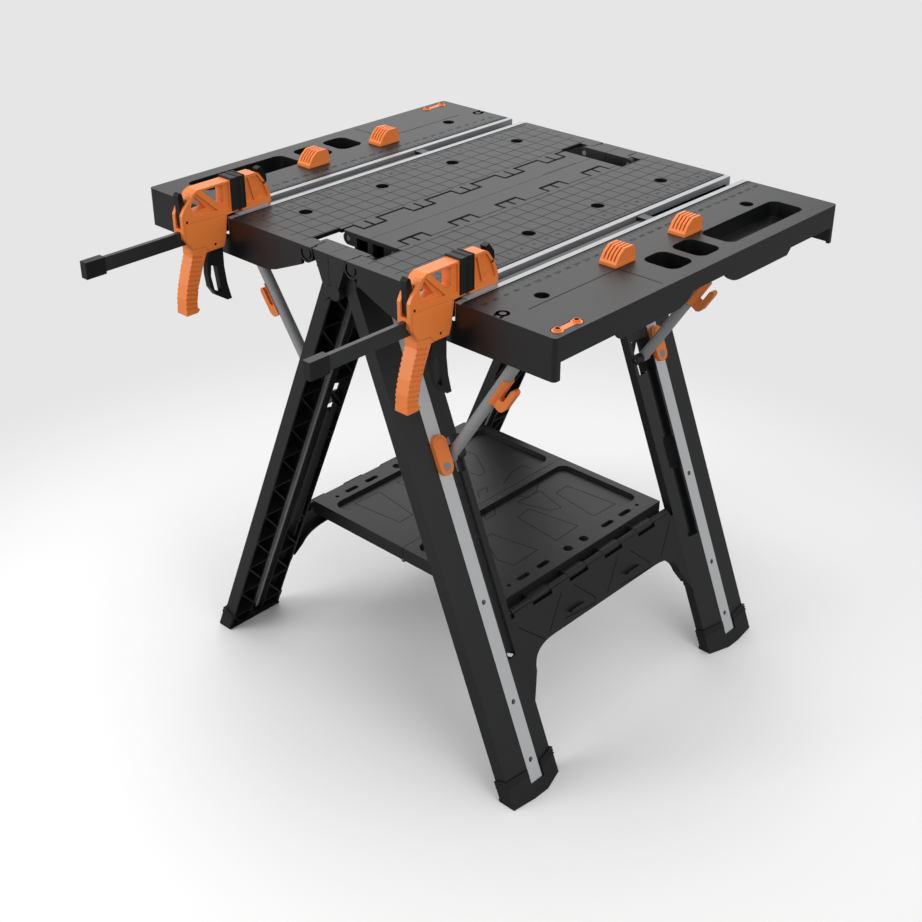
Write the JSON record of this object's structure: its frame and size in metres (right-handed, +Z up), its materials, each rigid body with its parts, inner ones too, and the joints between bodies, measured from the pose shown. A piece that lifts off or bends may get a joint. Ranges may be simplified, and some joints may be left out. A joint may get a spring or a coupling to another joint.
{
  "type": "folding workbench",
  "caption": "Folding workbench: two fold-down table halves with tracks, dog holes and trays on moulded A-frame legs with a folding shelf and track clamps.",
  "frame": {"origin": "middle of the whole outline on the floor, under the table between the near clamp bars' ends and the table's far end", "axes": "+X across the table to the right wing, +Y along the tracks away from the clamps, +Z up"},
  "size_m": [0.787, 0.87, 0.83],
  "materials": {
    "moulded_black": "satin, fine moulded grain",
    "moulded_orange": "satin",
    "black_plastic": "satin",
    "rubber_black": "matt",
    "bright_rail": "bright drawn sheet",
    "grey_steel": "grey powder coat",
    "black_steel": "black oxide",
    "pin_steel": "zinc plated"
  },
  "bodies": {
    "left leg frame": {"leg_frame_left": "moulded_black", "leg_rail_near_left": "bright_rail", "leg_rail_far_left": "bright_rail", "foot_caps_left": "rubber_black", "leg_screws_left": "pin_steel", "table_pins_left": "pin_steel", "shelf_pin_left": "pin_steel"},
    "left shelf half": {"shelf_left": "moulded_black", "shelf_pin_middle": "pin_steel"},
    "left table half": {"table_left": "moulded_black", "track_rails_left": "bright_rail"},
    "left link plate": {"link_plate_left": "moulded_orange"},
    "near left support tube": {"support_tube_near_left": "grey_steel", "tube_hook_near_left": "moulded_orange"},
    "near left latch": {"latch_near_left": "moulded_orange"},
    "near left dog": {"dog_near_left": "moulded_orange"},
    "far left support tube": {"support_tube_far_left": "grey_steel", "tube_hook_far_left": "moulded_orange"},
    "far left latch": {"latch_far_left": "moulded_orange"},
    "far left dog": {"dog_far_left": "moulded_orange"},
    "left clamp body": {"clamp_body_left": "moulded_orange", "clamp_pad_left": "rubber_black"},
    "left clamp bar": {"clamp_bar_left": "black_steel", "bar_ends_left": "black_plastic"},
    "left clamp jaw": {"jaw_left": "moulded_orange", "jaw_pad_left": "rubber_black", "jaw_foot_left": "grey_steel"},
    "left clamp trigger": {"clamp_trigger_left": "black_plastic"},
    "left clamp lever": {"clamp_lever_left": "black_plastic"},
    "left jaw lever": {"jaw_lever_left": "black_plastic"},
    "right leg frame": {"leg_frame_right": "moulded_black", "leg_rail_near_right": "bright_rail", "leg_rail_far_right": "bright_rail", "foot_caps_right": "rubber_black", "leg_screws_right": "pin_steel", "table_pins_right": "pin_steel", "shelf_pin_right": "pin_steel"},
    "right shelf half": {"shelf_right": "moulded_black"},
    "right table half": {"table_right": "moulded_black", "track_rails_right": "bright_rail"},
    "right link plate": {"link_plate_right": "moulded_orange"},
    "near right support tube": {"support_tube_near_right": "grey_steel", "tube_hook_near_right": "moulded_orange"},
    "near right latch": {"latch_near_right": "moulded_orange"},
    "near right dog": {"dog_near_right": "moulded_orange"},
    "far right support tube": {"support_tube_far_right": "grey_steel", "tube_hook_far_right": "moulded_orange"},
    "far right latch": {"latch_far_right": "moulded_orange"},
    "far right dog": {"dog_far_right": "moulded_orange"},
    "right clamp body": {"clamp_body_right": "moulded_orange", "clamp_pad_right": "rubber_black"},
    "right clamp bar": {"clamp_bar_right": "black_steel", "bar_ends_right": "black_plastic"},
    "right clamp jaw": {"jaw_right": "moulded_orange", "jaw_pad_right": "rubber_black", "jaw_foot_right": "grey_steel"},
    "right clamp trigger": {"clamp_trigger_right": "black_plastic"},
    "right clamp lever": {"clamp_lever_right": "black_plastic"},
    "right jaw lever": {"jaw_lever_right": "black_plastic"}
  },
  "joints": [
    {"name": "shelf lift", "type": "hinge", "parent": "left leg frame", "child": "left shelf half", "pos_m": [-0.21893, 0.1175, 0.2365], "axis": [0, -1, 0], "range_deg": [0, 72.91]},
    {"name": "shelf middle hinge", "type": "hinge", "parent": "left shelf half", "child": "right shelf half", "pos_m": [0.002, 0.1175, 0.23], "axis": [0, 1, 0], "range_deg": [0, 173.98]},
    {"name": "right leg hinge", "type": "hinge", "parent": "right shelf half", "child": "right leg frame", "pos_m": [0.22421, 0.1175, 0.2365], "axis": [0, -1, 0], "range_deg": [0, 55.8]},
    {"name": "left table fold", "type": "hinge", "parent": "left leg frame", "child": "left table half", "pos_m": [-0.044, 0.1175, 0.7646], "axis": [0, -1, 0], "range_deg": [0, 61.33]},
    {"name": "near left tube swing", "type": "hinge", "parent": "left leg frame", "child": "near left support tube", "pos_m": [-0.1256, -0.1095, 0.48], "axis": [0, -1, 0], "range_deg": [0, 122.34]},
    {"name": "near left latch turn", "type": "hinge", "parent": "left leg frame", "child": "near left latch", "pos_m": [-0.14069, -0.1345, 0.48157], "axis": [0.9193, 0, -0.3934], "range_deg": [0, 60]},
    {"name": "near left dog lift", "type": "slide", "parent": "left table half", "child": "near left dog", "axis": [0, 0, 1], "range_m": [0, 0.05]},
    {"name": "far left tube swing", "type": "hinge", "parent": "left leg frame", "child": "far left support tube", "pos_m": [-0.1256, 0.3445, 0.48], "axis": [0, -1, 0], "range_deg": [0, 122.34]},
    {"name": "far left latch turn", "type": "hinge", "parent": "left leg frame", "child": "far left latch", "pos_m": [-0.14069, 0.3695, 0.48157], "axis": [-0.9193, 0, 0.3934], "range_deg": [0, 60]},
    {"name": "far left dog lift", "type": "slide", "parent": "left table half", "child": "far left dog", "axis": [0, 0, 1], "range_m": [0, 0.05]},
    {"name": "left link plate lift", "type": "slide", "parent": "left table half", "child": "left link plate", "axis": [0, 0, 1], "range_m": [0, 0.02]},
    {"name": "left clamp slide", "type": "slide", "parent": "left table half", "child": "left clamp body", "axis": [0, -1, 0], "range_m": [0, 0.42]},
    {"name": "left bar slide", "type": "slide", "parent": "left clamp body", "child": "left clamp bar", "axis": [0, 1, 0], "range_m": [0, 0.107]},
    {"name": "left jaw slide", "type": "slide", "parent": "left clamp bar", "child": "left clamp jaw", "axis": [0, 1, 0], "range_m": [0, 0.316]},
    {"name": "left trigger pull", "type": "hinge", "parent": "left clamp body", "child": "left clamp trigger", "pos_m": [-0.2205, -0.225, 0.741], "axis": [-1, 0, 0], "range_deg": [0, 12], "stiffness_Nm_per_rad": 0.3, "springref_deg": -11.46},
    {"name": "left lever turn", "type": "hinge", "parent": "left clamp body", "child": "left clamp lever", "pos_m": [-0.2205, -0.27, 0.785], "axis": [1, 0, 0], "range_deg": [0, 25], "stiffness_Nm_per_rad": 0.1, "springref_deg": -11.46},
    {"name": "left jaw lever turn", "type": "hinge", "parent": "left clamp jaw", "child": "left jaw lever", "pos_m": [-0.2205, -0.13, 0.808], "axis": [-1, 0, 0], "range_deg": [0, 20], "stiffness_Nm_per_rad": 0.1, "springref_deg": -11.46},
    {"name": "right table fold", "type": "hinge", "parent": "right leg frame", "child": "right table half", "pos_m": [0.044, 0.1175, 0.7646], "axis": [0, 1, 0], "range_deg": [0, 62.39]},
    {"name": "near right tube swing", "type": "hinge", "parent": "right leg frame", "child": "near right support tube", "pos_m": [0.13611, -0.1095, 0.48], "axis": [0, 1, 0], "range_deg": [0, 125.08]},
    {"name": "near right latch turn", "type": "hinge", "parent": "right leg frame", "child": "near right latch", "pos_m": [0.15115, -0.1345, 0.48151], "axis": [0.9265, 0, 0.3763], "range_deg": [0, 60]},
    {"name": "near right dog lift", "type": "slide", "parent": "right table half", "child": "near right dog", "axis": [0, 0, 1], "range_m": [0, 0.05]},
    {"name": "far right tube swing", "type": "hinge", "parent": "right leg frame", "child": "far right support tube", "pos_m": [0.13611, 0.3445, 0.48], "axis": [0, 1, 0], "range_deg": [0, 125.08]},
    {"name": "far right latch turn", "type": "hinge", "parent": "right leg frame", "child": "far right latch", "pos_m": [0.15115, 0.3695, 0.48151], "axis": [-0.9265, 0, -0.3763], "range_deg": [0, 60]},
    {"name": "far right dog lift", "type": "slide", "parent": "right table half", "child": "far right dog", "axis": [0, 0, 1], "range_m": [0, 0.05]},
    {"name": "right link plate lift", "type": "slide", "parent": "right table half", "child": "right link plate", "axis": [0, 0, 1], "range_m": [0, 0.02]},
    {"name": "right clamp slide", "type": "slide", "parent": "right table half", "child": "right clamp body", "axis": [0, 1, 0], "range_m": [-0.42, 0]},
    {"name": "right bar slide", "type": "slide", "parent": "right clamp body", "child": "right clamp bar", "axis": [0, 1, 0], "range_m": [0, 0.107]},
    {"name": "right jaw slide", "type": "slide", "parent": "right clamp bar", "child": "right clamp jaw", "axis": [0, 1, 0], "range_m": [0, 0.316]},
    {"name": "right trigger pull", "type": "hinge", "parent": "right clamp body", "child": "right clamp trigger", "pos_m": [0.2205, -0.225, 0.741], "axis": [-1, 0, 0], "range_deg": [0, 12], "stiffness_Nm_per_rad": 0.3, "springref_deg": -11.46},
    {"name": "right lever turn", "type": "hinge", "parent": "right clamp body", "child": "right clamp lever", "pos_m": [0.2205, -0.27, 0.785], "axis": [1, 0, 0], "range_deg": [0, 25], "stiffness_Nm_per_rad": 0.1, "springref_deg": -11.46},
    {"name": "right jaw lever turn", "type": "hinge", "parent": "right clamp jaw", "child": "right jaw lever", "pos_m": [0.2205, -0.13, 0.808], "axis": [-1, 0, 0], "range_deg": [0, 20], "stiffness_Nm_per_rad": 0.1, "springref_deg": -11.46}
  ],
  "couplings": [
    {"joint": "shelf middle hinge", "follows": "shelf lift", "ratio": 2.3863},
    {"joint": "right leg hinge", "follows": "shelf lift", "ratio": 0.76528},
    {"joint": "near left tube swing", "follows": "left table fold", "ratio": 1.9947},
    {"joint": "far left tube swing", "follows": "left table fold", "ratio": 1.9947},
    {"joint": "near right tube swing", "follows": "right table fold", "ratio": 2.0047},
    {"joint": "far right tube swing", "follows": "right table fold", "ratio": 2.0047}
  ]
}
